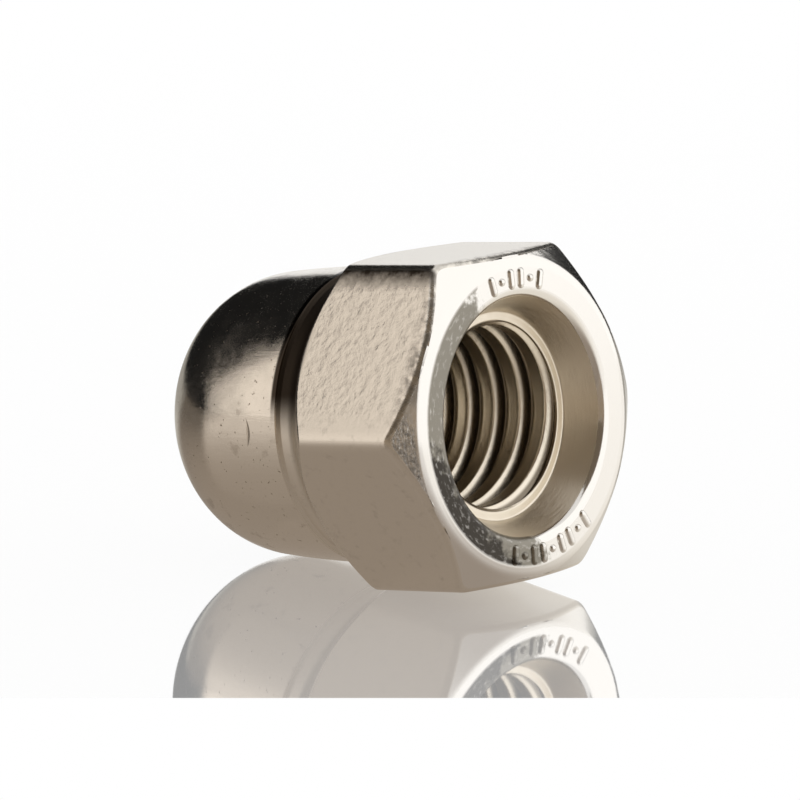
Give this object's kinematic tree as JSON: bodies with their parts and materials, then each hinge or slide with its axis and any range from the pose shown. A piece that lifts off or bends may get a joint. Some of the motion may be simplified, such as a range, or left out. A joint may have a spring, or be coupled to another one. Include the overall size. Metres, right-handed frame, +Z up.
{
  "type": "cap nut",
  "caption": "Domed cap nut: a hexagonal wrench body with chamfered corners, a necked dome that closes over the bolt end, and a blind threaded hole with a countersunk mouth.",
  "frame": {"origin": "centre of the bearing face, on the axis of the thread", "axes": "+Z up, with the nut lying on the back edge of its lowest flat and on its dome; +X horizontal towards the open end, so the thread's axis is in the XZ plane and rises 7.4 degrees from +X; +Y across the corners of the hexagon"},
  "size_m": [0.0156, 0.0136, 0.0126],
  "materials": {
    "stainless_steel": "bright, cold forged: pebbled on the upper flats, smooth on the dome, turned on the bearing face"
  },
  "bodies": {
    "root": {"cap_nut": "stainless_steel"}
  },
  "joints": []
}
